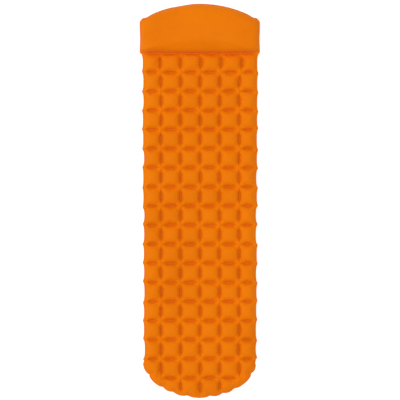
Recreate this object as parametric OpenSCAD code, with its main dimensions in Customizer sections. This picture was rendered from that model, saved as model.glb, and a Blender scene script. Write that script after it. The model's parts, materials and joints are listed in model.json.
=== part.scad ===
// Inflatable sleeping pad with a built-in pillow, lying flat and pumped up.
// Two sheets of coated fabric make each air chamber. They are welded together round the rim and,
// on the mattress, along short line welds that divide it into square air cells.
// Each chamber has a flat two-lid valve in the side wall of its lower sheet.
// Frame: the pad lies on z = 0 with its head towards +Y, its width along X and its middle at the origin.

/* [Pad] */
// Length of the whole pad, from the top of the head arc to the end of the foot
pad_l = 1900; // [1800:10:2000]
// Width of the mattress at its head end
mattress_w = 562; // [540:2:600]
// Narrowing of the mattress from its head end to its foot
taper = 14; // [0:1:30]
// Thickness of the mattress
mattress_t = 60; // [56:1:72]
// Thickness of the coated fabric
fabric_t = 0.6; // [0.4:0.1:1]
// Width of the flat weld round each chamber
rim_w = 5; // [4:0.5:7]

/* [Air cells] */
// Columns of air cells across the mattress
columns = 6; // [5:1:7]
// Rows of air cells along the mattress
rows = 18; // [16:1:20]
// Rows that lie in the rounded foot
foot_rows = 2; // [2:1:3]
// Length of each line weld between two cells
weld_l = 47; // [40:1:54]
// Height of the air passage where four cells meet
passage_h = 28; // [16:1:40]
// Distance that the side is drawn in beside each cell
scallop = 4; // [0:0.5:8]
// Sideways run of the lower side wall
side_run = 28; // [27:0.5:31]

/* [Pillow] */
// Length of the pillow, from the seam to the top of its arc
pillow_l = 238; // [220:1:260]
// Width of the pillow
pillow_w = 581; // [566:1:620]
// Thickness of the pillow
pillow_t = 100; // [90:1:120]
// Radius of the arc at the head end
head_r = 555; // [480:5:800]
// Height of the pillow's rim above the floor
pillow_rim_h = 47; // [42:1:56]
// Width of the rounded shoulder inside the pillow's rim
shoulder_w = 100; // [80:1:104]
// Sideways run of the pillow's lower side wall
pillow_side_run = 32; // [28:1:40]
// Width of the seam that joins the pillow to the mattress
seam_w = 8; // [6:0.5:12]

/* [Valves] */
// Row of air cells that holds the mattress valve
valve_row = 2; // [2:1:6]
// Diameter of the flange that is welded inside the fabric
flange_d = 33; // [31:0.5:35]
// Thickness of the flange
flange_t = 1.2; // [0.8:0.1:1.6]
// Outer diameter of the collar that stands out of the fabric
collar_d = 25; // [24:0.5:27]
// Height of the collar above the flange
collar_h = 4.2; // [3.8:0.1:5]
// Bore of the collar, which the stopper plugs
throat_d = 19; // [18:0.5:20]
// Thickness of the tether ring and its strap
tether_t = 1.4; // [1.2:0.1:1.6]
// Width of the straps of the two lids
strap_w = 8; // [5:0.5:9]
// Thickness of the stopper's and the cap's discs
lid_t = 1.6; // [1.2:0.1:2]
// Diameter of the stopper's disc
stopper_d = 26; // [25:0.5:28]
// Depth of the stopper's plug below its disc
plug_depth = 6.3; // [5:0.1:7]
// Thickness of the O-ring round the plug
seal_t = 1.2; // [1:0.1:1.4]
// Bore of the inflation port
port_d = 11; // [9:0.5:11.5]
// Outer diameter of the inflation port, which a pump fits over
port_outer_d = 15; // [14:0.5:16]
// Height of the inflation port above the stopper's disc
port_h = 1.5; // [1.2:0.1:2.5]
// Diameter of the cap
cap_d = 17; // [16:0.5:18]
// Depth of the cap's plug below its disc
cap_plug_depth = 2.9; // [2:0.1:3]
// Diameter of the one-way membrane
membrane_d = 13.8; // [13:0.2:15]
// Thickness of the one-way membrane
membrane_t = 0.7; // [0.5:0.1:0.9]
// Distance that the membrane lifts off its seat
membrane_lift = 1.5; // [0.8:0.1:2]
// Diameter of the pin that carries the membrane
pin_d = 1.8; // [1.4:0.1:2.2]

/* [Hidden] */
$fn = 64;

pad_colour = "#E3710E";
valve_colour = "#3A3B3D";
silicone_colour = "#D9DCD6";
run_gap = 0.1;   // between two pieces that slide or turn against each other
hinge_gap = 0.3; // left free where a strap bends
edge_break = 0.4;

// ---------------------------------------------------------------- the chambers in plan

head_y = pad_l / 2;
seam_y = head_y - pillow_l;
mattress_l = pad_l - pillow_l;
straight_rows = rows - foot_rows;
column_pitch = mattress_w / columns;
row_pitch = mattress_l / rows;
foot_l = foot_rows * row_pitch;
foot_y = seam_y - straight_rows * row_pitch;
mid_z = mattress_t / 2;
foot_corner = 28;     // angle on the foot's ellipse where its side turns into its end
edge_cell_w = column_pitch - rim_w;
passage_level = passage_h / mattress_t;
open_level = 0.8;     // level of a cell wall that has no weld, as a share of the cell's height
dome_power = 0.3;     // how flat the top of a cell is: 1 for a sine, less for a fuller cell

// Shares of a cell at which the grid has a line. A line weld runs from the second to the last.
function cell_cuts(pitch, domed) =
    let (a = (1 - weld_l / pitch) / 2)
    domed ? [0, a, 0.5, 1 - a] : [0, a, 1 - a];

// Every grid line across or along the cells, as [cell, share of the cell].
function cell_lines(cells, cuts) = [
    for (cell = [0 : cells - 1])
        for (share = cuts)
            [cell, share],
    [cells, 0]
];

// Half width of the mattress over its rim, in the given row.
function half_w(row) = mattress_w / 2 - taper / 2 * min(1, row / straight_rows);

// Distance of a grid line from the nearer side of its chamber, for the two outer columns.
function inset(share) = share == 0 ? 0 : share < 0.5 ? side_run : share * column_pitch - rim_w;

// Which side's outer column a grid line is in: -1, 0 for an inner column, or 1.
function side_of(u) = u[0] == 0 ? -1 : u[0] == columns || (u[0] == columns - 1 && u[1] > 0) ? 1 : 0;

function side_inset(u) = side_of(u) < 0 ? inset(u[1]) : inset(u[0] == columns ? 0 : 1 - u[1]);

// A point of the straight part. grow is added round the chamber to reach the rim's outer edge.
function straight_point(u, v, grow) =
    let (
        side = side_of(u),
        d = side_inset(u),
        pull = d <= side_run ? scallop * sin(180 * v[1]) : 0,
        across = (u[0] + u[1]) * 2 / columns - 1
    )
    [
        side == 0 ? across * half_w(v[0]) : side * (half_w(v[0]) - rim_w - pull - d + grow[0]),
        v == [0, 0] ? seam_y - seam_w / 2 + grow[1] : seam_y - (v[0] + v[1]) * row_pitch
    ];

// A point of the rounded foot. The inner columns run straight on to the ellipse, and each outer
// column is a patch between the ellipse and the last weld line.
function foot_point(u, v, grow) =
    let (
        t = (v[0] + v[1] - straight_rows) / foot_rows,
        side = side_of(u),
        out = max(grow),
        wave = u == [0, 0] || u == [columns, 0] ? v[1] : u[1],
        on_edge = t == 1 || side_inset(u) == 0 && side != 0,
        pull = on_edge ? scallop * sin(180 * wave) : 0,
        a = half_w(rows) - rim_w + out - pull,
        b = foot_l - rim_w + out - pull,
        across = (u[0] + u[1]) * 2 / columns - 1,
        weld_x = 1 - edge_cell_w / (half_w(rows) - rim_w),
        weld_angle = acos(weld_x),
        q = side_inset(u) / edge_cell_w,
        end_angle = foot_corner + q * (weld_angle - foot_corner),
        edge = [cos(t * foot_corner), sin(t * foot_corner)],
        inner = [weld_x, t * sin(weld_angle)],
        bulge = [cos(end_angle), sin(end_angle)]
            - (1 - q) * [cos(foot_corner), sin(foot_corner)] - q * [weld_x, sin(weld_angle)],
        corner = (1 - q) * edge + q * inner + t * bulge,
        s = across * half_w(rows) / (half_w(rows) - rim_w)
    )
    side == 0
    ? [s * (half_w(rows) - rim_w), foot_y - t * b * sqrt(1 - s * s)]
    : [side * corner[0] * a, foot_y - corner[1] * b];

function plan_point(u, v, grow) =
    v[0] + v[1] > straight_rows ? foot_point(u, v, grow) : straight_point(u, v, grow);

// True where the wall between two columns, or two rows, is welded. The foot's outer cells stay open.
function column_weld(column, row) = row < rows - 1 || abs(column - columns / 2) < columns / 2 - 1;
function row_weld(column, row) = row < rows - 1 || (column > 0 && column < columns - 1);

// Height of a mattress sheet above the weld plane, as a share of its highest point.
function cell_level(u, v, domed) =
    u[1] == 0 && v[1] == 0 ? passage_level
    : u[1] == 0 ? (column_weld(u[0], v[0]) ? 0 : open_level)
    : v[1] == 0 ? (row_weld(u[0], v[0]) ? 0 : open_level)
    : domed ? pow(sin(180 * u[1]) * sin(180 * v[1]), dome_power)
    : 1;

// The outer face of a mattress sheet, as rows of points from the head to the foot.
function mattress_face(top) =
    let (
        us = cell_lines(columns, cell_cuts(column_pitch, top)),
        vs = cell_lines(rows, cell_cuts(row_pitch, top)),
        last_u = len(us) - 1,
        last_v = len(vs) - 1,
        reach = mid_z - fabric_t
    )
    [
        for (j = [-1 : last_v + 1])
            let (v = vs[min(max(j, 0), last_v)])
            [
                for (i = [-1 : last_u + 1])
                    let (
                        u = us[min(max(i, 0), last_u)],
                        beyond_x = i < 0 || i > last_u ? rim_w : 0,
                        beyond_y = j < 0 ? seam_w : j > last_v ? rim_w : 0,
                        on_rim = i <= 0 || i >= last_u || j <= 0 || j >= last_v,
                        level = on_rim ? 0 : cell_level(u, v, top),
                        p = plan_point(u, v, [beyond_x, beyond_y])
                    )
                    [p[0], p[1], mid_z + (top ? 1 : -1) * (fabric_t + level * reach)]
            ]
    ];

// ---------------------------------------------------------------- the pillow

pillow_edge_x = pillow_w / 2 - rim_w;
pillow_front_y = seam_y + seam_w / 2;
pillow_seam_z = mid_z + 2 * fabric_t; // its seam lies on the mattress's own rim
pillow_rim_ramp = 60;                 // length over which the rim climbs from the seam
floor_press = 1.6;                    // how soon the lower sheet reaches the floor
wall_lines = [1, 0.66, 0.3];          // grid lines up the side wall, as shares of its run
pillow_flat_steps = 10;
pillow_length_steps = 9;

// Quarter-ellipse rise from 0 at the rim to 1 at the end of the shoulder.
function shoulder(d) = d >= shoulder_w ? 1 : sqrt(max(0, 1 - pow(1 - d / shoulder_w, 2)));

function head_arc_y(x) = head_y - head_r + sqrt(head_r * head_r - x * x);

// Grid lines across the pillow, as distances from its middle.
function pillow_columns() =
    let (
        near = [for (k = wall_lines) pillow_edge_x - (1 - k) * pillow_side_run],
        flat_x = pillow_edge_x - pillow_side_run,
        steps = pillow_flat_steps
    )
    [
        for (x = near) -x,
        for (k = [0 : steps]) flat_x * (2 * k / steps - 1),
        for (k = [len(near) - 1 : -1 : 0]) near[k]
    ];

// Grid lines along the pillow, as shares of its length, closest together at its ends.
function pillow_rows() = [
    for (k = [0 : pillow_length_steps])
        (1 - cos(180 * k / pillow_length_steps)) / 2
];

// The outer face of a pillow sheet, as rows of points from the seam to the head.
function pillow_face(top) =
    let (
        xs = pillow_columns(),
        bs = pillow_rows(),
        last_x = len(xs) - 1,
        last_b = len(bs) - 1
    )
    [
        for (j = [-1 : last_b + 1])
            let (b = bs[min(max(j, 0), last_b)])
            [
                for (i = [-1 : last_x + 1])
                    let (
                        x0 = xs[min(max(i, 0), last_x)],
                        beyond = i < 0 ? -rim_w : i > last_x ? rim_w : 0,
                        seam_squeeze = j < 0 ? (mattress_w - pillow_w) / 2 * x0 / pillow_edge_x : 0,
                        x = x0 + beyond + seam_squeeze,
                        arc_y = head_arc_y(x) - rim_w,
                        y = j < 0 ? pillow_front_y - seam_w
                            : j > last_b ? arc_y + rim_w
                            : pillow_front_y + b * (arc_y - pillow_front_y),
                        from_front = y - pillow_front_y,
                        rim_z = pillow_seam_z
                            + (pillow_rim_h - pillow_seam_z) * min(1, max(0, from_front) / pillow_rim_ramp),
                        from_side = pillow_edge_x - abs(x0),
                        on_rim = i <= 0 || i >= last_x || j <= 0 || j >= last_b,
                        along = shoulder(from_front) * shoulder(arc_y - y),
                        up = on_rim ? 0 : along * shoulder(from_side),
                        down = on_rim ? 0
                            : min(1, floor_press * along) * min(1, from_side / pillow_side_run)
                    )
                    [
                        x,
                        y,
                        top ? rim_z + fabric_t + up * (pillow_t - rim_z - fabric_t)
                            : (rim_z - fabric_t) * (1 - down)
                    ]
            ]
    ];

// ---------------------------------------------------------------- fabric sheets

// A sheet of fabric from the points of its outer face. inward is the height of the inner face
// above the outer one, negative for an upper sheet. Each square is split along the diagonal that
// runs from the corner of its air cell to the middle, so that both faces bend alike.
module sheet(face, inward) {
    rows_n = len(face);
    cols_n = len(face[0]);
    count = rows_n * cols_n;
    outer = [for (line = face) each line];
    inner = [for (p = outer) p + [0, 0, inward]];
    last_j = rows_n - 1;
    last_i = cols_n - 1;
    function at(i, j, layer) = layer * count + j * cols_n + i;
    // The higher diagonal is the one that follows the air passages.
    function splits_up(i, j) =
        abs(face[j][i][2] + face[j + 1][i + 1][2] - 2 * face[0][0][2])
        >= abs(face[j + 1][i][2] + face[j][i + 1][2] - 2 * face[0][0][2]);
    function square(i, j, layer) =
        splits_up(i, j)
        ? [
            [at(i, j, layer), at(i + 1, j, layer), at(i + 1, j + 1, layer)],
            [at(i, j, layer), at(i + 1, j + 1, layer), at(i, j + 1, layer)]
        ]
        : [
            [at(i, j, layer), at(i + 1, j, layer), at(i, j + 1, layer)],
            [at(i + 1, j, layer), at(i + 1, j + 1, layer), at(i, j + 1, layer)]
        ];
    function turned(triangles) = [for (f = triangles) [f[0], f[2], f[1]]];
    function wall(p, q) = [[p, q, q + count], [p, q + count, p + count]];
    skin = [for (j = [0 : last_j - 1]) for (i = [0 : last_i - 1]) each square(i, j, 0)];
    lining = [for (j = [0 : last_j - 1]) for (i = [0 : last_i - 1]) each square(i, j, 1)];
    rim = [
        for (i = [0 : last_i - 1]) each wall(at(i + 1, 0, 0), at(i, 0, 0)),
        for (i = [0 : last_i - 1]) each wall(at(i, last_j, 0), at(i + 1, last_j, 0)),
        for (j = [0 : last_j - 1]) each wall(at(0, j, 0), at(0, j + 1, 0)),
        for (j = [0 : last_j - 1]) each wall(at(last_i, j + 1, 0), at(last_i, j, 0))
    ];
    shell = concat(skin, turned(lining), rim);
    y_falls = face[0][0][1] > face[last_j][0][1];
    polyhedron(
        points = concat(outer, inner),
        faces = (inward < 0) == y_falls ? shell : turned(shell)
    );
}

// ---------------------------------------------------------------- valve seats

valve_drop = 20.3;      // down the side wall, from the rim to the middle of a valve
pillow_valve_at = 0.6;  // place of its valve along the pillow, as a share of its length

// Each seat is a place on a flat lower side wall: [x, y, z, tilt of the wall].
function wall_seat(edge_x, y, rim_z, run) =
    let (tilt = atan((rim_z - fabric_t) / run))
    [edge_x - valve_drop * cos(tilt), y, rim_z - valve_drop * sin(tilt), tilt];

mattress_seat = wall_seat(
    half_w(valve_row - 1) - rim_w - scallop * sin(180 * cell_cuts(row_pitch, false)[1]),
    seam_y - (valve_row - 0.5) * row_pitch,
    mid_z,
    side_run
);
pillow_seat = wall_seat(
    pillow_edge_x,
    pillow_front_y + (head_arc_y(pillow_edge_x) - rim_w - pillow_front_y) * pillow_valve_at,
    pillow_rim_h,
    pillow_side_run
);

// Puts a valve piece on its seat: its X points up the wall, and its Z out of the pad.
module on_seat(seat) {
    translate([seat[0], seat[1], seat[2]])
        rotate([180, -seat[3], 0])
            children();
}

// ---------------------------------------------------------------- valve pieces, as [radius, z]

collar_r = collar_d / 2;
throat_r = throat_d / 2;
flange_r = flange_d / 2;
flange_bevel = 3;
groove_depth = 1;     // of the tether's groove round the collar
groove_z = 1;
groove_w = tether_t + 2 * run_gap;
tether_z = groove_z + run_gap;
tether_lip = 1.2;     // width of the tether ring outside the collar
tether_outer_r = collar_r + tether_lip;
stopper_r = stopper_d / 2;
stopper_z = collar_h + run_gap;
stopper_top = stopper_z + lid_t;
plug_end_z = stopper_z - plug_depth;
plug_top_r = throat_r - 0.15;
plug_taper = 0.65;    // on the plug's radius, so that it finds the throat
plug_end_r = plug_top_r - plug_taper;
plug_wall = 1.9;
web_t = 1.2;          // thickness of the spider that carries the membrane's pin
rib_w = 1.1;
strap_leg = 1.3;      // thickness of a lid's strap where it drops to its hinge line
strap_bite = 1;       // overlap of a strap and the disc that carries it
strap_reach = 3.6;    // from the wider of stopper and tether ring to the hinge line
stopper_hinge_r = max(stopper_r, tether_outer_r) + strap_reach;
seal_drop = 2.7;      // from the stopper's disc down to the middle of the O-ring
seal_z = stopper_z - seal_drop;
seal_r = throat_r - run_gap - seal_t / 2;
port_r = port_d / 2;
port_outer_r = port_outer_d / 2;
port_top = stopper_top + port_h;
cap_r = cap_d / 2;
cap_z = port_top + run_gap;
cap_top = cap_z + lid_t;
cap_wall = 1.2;
cap_strap_w = strap_w * 0.7;
cap_hinge_r = stopper_r + 1.5;
cap_turn = 70;        // round the valve from the stopper's strap to the cap's
tab_turn = 125;       // round the valve from the stopper's strap to its finger tab
stopper_tab_w = 7;
cap_tab_w = 5;
tab_l = 2.6;
pin_r = pin_d / 2;
pin_gap = run_gap / 5;
pin_play = 0.15;
membrane_r = membrane_d / 2;
membrane_bevel = 0.3;
membrane_z = plug_end_z - run_gap / 2;
pin_end_z = membrane_z - membrane_t - membrane_lift - pin_play;
pin_head_t = 0.8;
rivet_t = 0.6;        // thickness of the pin's inner head

module turned_piece(points) {
    rotate_extrude()
        polygon(points);
}

// A strap of a lid: a flat arm at disc height and a leg down to the hinge line, along +X.
module lid_strap(from_r, hinge_r, width, disc_z, leg_z) {
    translate([from_r, -width / 2, disc_z])
        cube([hinge_r - from_r, width, lid_t]);
    translate([hinge_r - strap_leg, -width / 2, leg_z])
        cube([strap_leg, width, disc_z - leg_z + edge_break]);
}

// A finger tab with a rounded end, pointing along +X.
module finger_tab(from_r, width, z, thickness) {
    translate([from_r - edge_break * 2, -width / 2, z])
        cube([tab_l + edge_break * 2 - width / 4, width, thickness]);
    translate([from_r + tab_l - width / 4, 0, z])
        scale([0.5, 1, 1])
            cylinder(h = thickness, d = width);
}

module valve_base() {
    color(valve_colour)
        turned_piece([
            [throat_r, -flange_t], [flange_r - flange_bevel, -flange_t],
            [flange_r, -flange_t / 3], [flange_r, 0], [collar_r, 0], [collar_r, groove_z],
            [collar_r - groove_depth, groove_z], [collar_r - groove_depth, groove_z + groove_w],
            [collar_r, groove_z + groove_w], [collar_r, collar_h - edge_break],
            [collar_r - edge_break, collar_h], [throat_r + edge_break, collar_h],
            [throat_r, collar_h - edge_break]
        ]);
}

module valve_tether() {
    ring_r = collar_r - groove_depth + run_gap;
    color(valve_colour) {
        turned_piece([
            [ring_r, tether_z], [tether_outer_r, tether_z],
            [tether_outer_r, tether_z + tether_t], [ring_r, tether_z + tether_t]
        ]);
        translate([tether_outer_r - strap_bite, -strap_w / 2, tether_z])
            cube([stopper_hinge_r - tether_outer_r + strap_bite, strap_w, tether_t]);
    }
}

module valve_stopper() {
    groove_r = seal_r - seal_t / 2;
    groove_half = seal_t / 2 + run_gap;
    slope = (plug_top_r - plug_end_r) / plug_depth;
    function plug_r(z) = plug_end_r + slope * (z - plug_end_z);
    cavity_r = plug_end_r - plug_wall;
    color(valve_colour)
        difference() {
            union() {
                turned_piece([
                    [port_r, stopper_z], [port_r, port_top], [port_outer_r - edge_break, port_top],
                    [port_outer_r, port_top - edge_break], [port_outer_r, stopper_top],
                    [stopper_r - edge_break, stopper_top], [stopper_r, stopper_top - edge_break],
                    [stopper_r, stopper_z], [plug_top_r, stopper_z],
                    [plug_r(seal_z + groove_half), seal_z + groove_half],
                    [groove_r, seal_z + groove_half], [groove_r, seal_z - groove_half],
                    [plug_r(seal_z - groove_half), seal_z - groove_half],
                    [plug_end_r, plug_end_z], [port_r, plug_end_z],
                    [port_r, plug_end_z + web_t], [cavity_r, plug_end_z + web_t], [cavity_r, stopper_z]
                ]);
                for (turn = [0 : 60 : 120])
                    rotate([0, 0, turn])
                        translate([-port_r - edge_break, -rib_w / 2, plug_end_z])
                            cube([2 * (port_r + edge_break), rib_w, web_t]);
                translate([0, 0, plug_end_z])
                    cylinder(h = web_t, r = pin_r + rib_w);
                lid_strap(
                    stopper_r - strap_bite, stopper_hinge_r, strap_w, stopper_z,
                    tether_z + tether_t + hinge_gap
                );
                rotate([0, 0, cap_turn])
                    translate([stopper_r - strap_bite, -cap_strap_w / 2, stopper_z])
                        cube([cap_hinge_r - stopper_r + strap_bite, cap_strap_w, lid_t]);
                rotate([0, 0, tab_turn])
                    finger_tab(stopper_r, stopper_tab_w, stopper_z, lid_t);
            }
            translate([0, 0, plug_end_z - web_t])
                cylinder(h = 3 * web_t, r = pin_r + pin_gap);
        }
}

module valve_seal() {
    color(silicone_colour)
        rotate_extrude()
            translate([seal_r, seal_z])
                circle(d = seal_t);
}

module valve_membrane() {
    hole_r = pin_r + 2 * run_gap;
    lower_z = membrane_z - membrane_t;
    color(silicone_colour)
        turned_piece([
            [hole_r, lower_z], [membrane_r - membrane_bevel, lower_z],
            [membrane_r, lower_z + membrane_bevel], [membrane_r, membrane_z], [hole_r, membrane_z]
        ]);
}

module valve_pin() {
    rivet_z = plug_end_z + web_t + pin_gap;
    rivet_top = rivet_z + rivet_t;
    outer_r = pin_r + 1;
    rivet_r = pin_r + 0.6;
    color(silicone_colour)
        turned_piece([
            [0, pin_end_z - pin_head_t], [outer_r - edge_break, pin_end_z - pin_head_t],
            [outer_r, pin_end_z], [pin_r, pin_end_z], [pin_r, rivet_z],
            [rivet_r, rivet_z], [rivet_r - edge_break / 2, rivet_top], [0, rivet_top]
        ]);
}

module valve_cap() {
    plug_r = port_r - run_gap;
    plug_end = cap_z - cap_plug_depth;
    color(valve_colour) {
        turned_piece([
            [0, cap_z], [plug_r - cap_wall, cap_z], [plug_r - cap_wall, plug_end],
            [plug_r - edge_break, plug_end], [plug_r, cap_z], [cap_r, cap_z],
            [cap_r, cap_top - edge_break], [cap_r - edge_break, cap_top], [0, cap_top]
        ]);
        rotate([0, 0, cap_turn])
            lid_strap(cap_r - strap_bite, cap_hinge_r, cap_strap_w, cap_z, stopper_top + hinge_gap);
        rotate([0, 0, cap_turn + 180])
            finger_tab(cap_r, cap_tab_w, cap_z, lid_t);
    }
}

// ---------------------------------------------------------------- fabric pieces

// A lower sheet, with the hole that its valve's collar stands in.
module lower_sheet(face, seat) {
    color(pad_colour)
        difference() {
            sheet(face, fabric_t);
            on_seat(seat)
                translate([0, 0, -flange_t])
                    cylinder(h = collar_h + flange_t, r = collar_r + run_gap);
        }
}

module mattress_top_sheet() {
    color(pad_colour)
        sheet(mattress_face(true), -fabric_t);
}

module mattress_bottom_sheet() {
    lower_sheet(mattress_face(false), mattress_seat);
}

module pillow_top_sheet() {
    color(pad_colour)
        sheet(pillow_face(true), -fabric_t);
}

module pillow_bottom_sheet() {
    lower_sheet(pillow_face(false), pillow_seat);
}

mattress_top_sheet();
mattress_bottom_sheet();
pillow_top_sheet();
pillow_bottom_sheet();
on_seat(mattress_seat) valve_base();  // mattress_valve_base
on_seat(mattress_seat) valve_tether();  // mattress_valve_tether
on_seat(mattress_seat) valve_stopper();  // mattress_valve_stopper
on_seat(mattress_seat) valve_seal();  // mattress_valve_seal
on_seat(mattress_seat) valve_membrane();  // mattress_valve_membrane
on_seat(mattress_seat) valve_pin();  // mattress_valve_pin
on_seat(mattress_seat) valve_cap();  // mattress_valve_cap
on_seat(pillow_seat) valve_base();  // pillow_valve_base
on_seat(pillow_seat) valve_tether();  // pillow_valve_tether
on_seat(pillow_seat) valve_stopper();  // pillow_valve_stopper
on_seat(pillow_seat) valve_seal();  // pillow_valve_seal
on_seat(pillow_seat) valve_membrane();  // pillow_valve_membrane
on_seat(pillow_seat) valve_pin();  // pillow_valve_pin
on_seat(pillow_seat) valve_cap();  // pillow_valve_cap
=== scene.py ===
"""Looks of an inflatable sleeping pad with a built-in pillow and two flat two-lid valves.

Each chamber's upper sheet is laid out on a grid that follows the welds, already domed, and a cloth
simulation under air pressure settles it. The mattress's lower sheet is that form turned over and
pressed onto the ground, and the pillow's lower sheet is drawn by its own rule. The valves are the
frame's own nodes with moulded finishes, and each living hinge gets a film set at its lid's turn.
"""

import json
import logging
import math
from dataclasses import dataclass, field
from enum import Enum

import bmesh
import bpy
import numpy as np
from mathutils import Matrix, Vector


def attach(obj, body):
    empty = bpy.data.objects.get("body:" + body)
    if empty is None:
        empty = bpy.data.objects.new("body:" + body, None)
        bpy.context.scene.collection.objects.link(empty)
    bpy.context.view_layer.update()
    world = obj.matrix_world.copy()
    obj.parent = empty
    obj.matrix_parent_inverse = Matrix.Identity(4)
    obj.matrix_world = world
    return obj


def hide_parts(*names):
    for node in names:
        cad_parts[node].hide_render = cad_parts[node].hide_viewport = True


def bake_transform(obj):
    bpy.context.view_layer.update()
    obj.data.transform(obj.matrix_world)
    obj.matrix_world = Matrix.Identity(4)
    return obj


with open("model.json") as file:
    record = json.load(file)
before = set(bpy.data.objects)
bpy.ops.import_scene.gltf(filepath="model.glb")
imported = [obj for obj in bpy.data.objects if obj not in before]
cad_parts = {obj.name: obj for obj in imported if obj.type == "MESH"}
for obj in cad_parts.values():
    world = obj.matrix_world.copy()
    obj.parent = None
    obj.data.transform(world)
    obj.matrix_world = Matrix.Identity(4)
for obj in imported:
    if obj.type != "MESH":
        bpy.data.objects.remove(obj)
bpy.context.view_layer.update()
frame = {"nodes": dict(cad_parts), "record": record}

log = logging.getLogger("sleeping_pad")
MM = 0.001
Array = np.ndarray


class Side(Enum):
    """Which sheet of a chamber: the value is the way it bulges from the weld plane."""

    UPPER = 1
    LOWER = -1


# ------------------------------------------------------------------ materials


def linear(hex_colour: str) -> tuple[float, float, float, float]:
    """Turn an sRGB hex colour into linear RGBA.

    Args:
        hex_colour: six hex digits with a leading hash.

    Returns:
        The linear colour, with an alpha of 1.
    """
    parts = [int(hex_colour[i : i + 2], 16) / 255 for i in (1, 3, 5)]
    flat = [c / 12.92 if c <= 0.04045 else ((c + 0.055) / 1.055) ** 2.4 for c in parts]
    return (*flat, 1.0)


@dataclass(frozen=True)
class NodeBench:
    """A node tree, with one way to add a node to it."""

    tree: bpy.types.NodeTree

    @classmethod
    def of(cls, owner: bpy.types.ID) -> "NodeBench":
        """Turn on an owner's nodes and empty its tree.

        Args:
            owner: the material or world that the nodes are for.

        Returns:
            The bench of its empty tree.
        """
        owner.use_nodes = True
        owner.node_tree.nodes.clear()
        return cls(owner.node_tree)

    def add(
        self, kind: str, *firsts: object, settings: dict[str, object] | None = None, **inputs: object
    ) -> bpy.types.Node:
        """Add a node with its settings and links.

        Args:
            kind: the node's type name, without the ShaderNode prefix.
            firsts: socket values or output sockets of the first inputs, in order.
            settings: attributes of the node. A colour ramp's stops are places and sRGB hex colours.
            inputs: socket values or output sockets, by socket name with underscores for spaces,
                or in_6, in_7 and so on by place.

        Returns:
            The new node.
        """
        node = self.tree.nodes.new("ShaderNode" + kind)
        for key, value in (settings or {}).items():
            if key == "stops":
                band = node.color_ramp.elements
                while len(band) < len(value):
                    band.new(0.5)
                for stop, (place, colour) in zip(band, value):
                    stop.position, stop.color = place, linear(colour)
            else:
                setattr(node, key, value)
        for key, value in [*enumerate(firsts), *inputs.items()]:
            if isinstance(key, str):
                place = key.removeprefix("in_")
                key = int(place) if place.isdigit() else key.replace("_", " ")
            if isinstance(value, bpy.types.NodeSocket):
                self.tree.links.new(value, node.inputs[key])
            else:
                node.inputs[key].default_value = value
        return node


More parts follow.
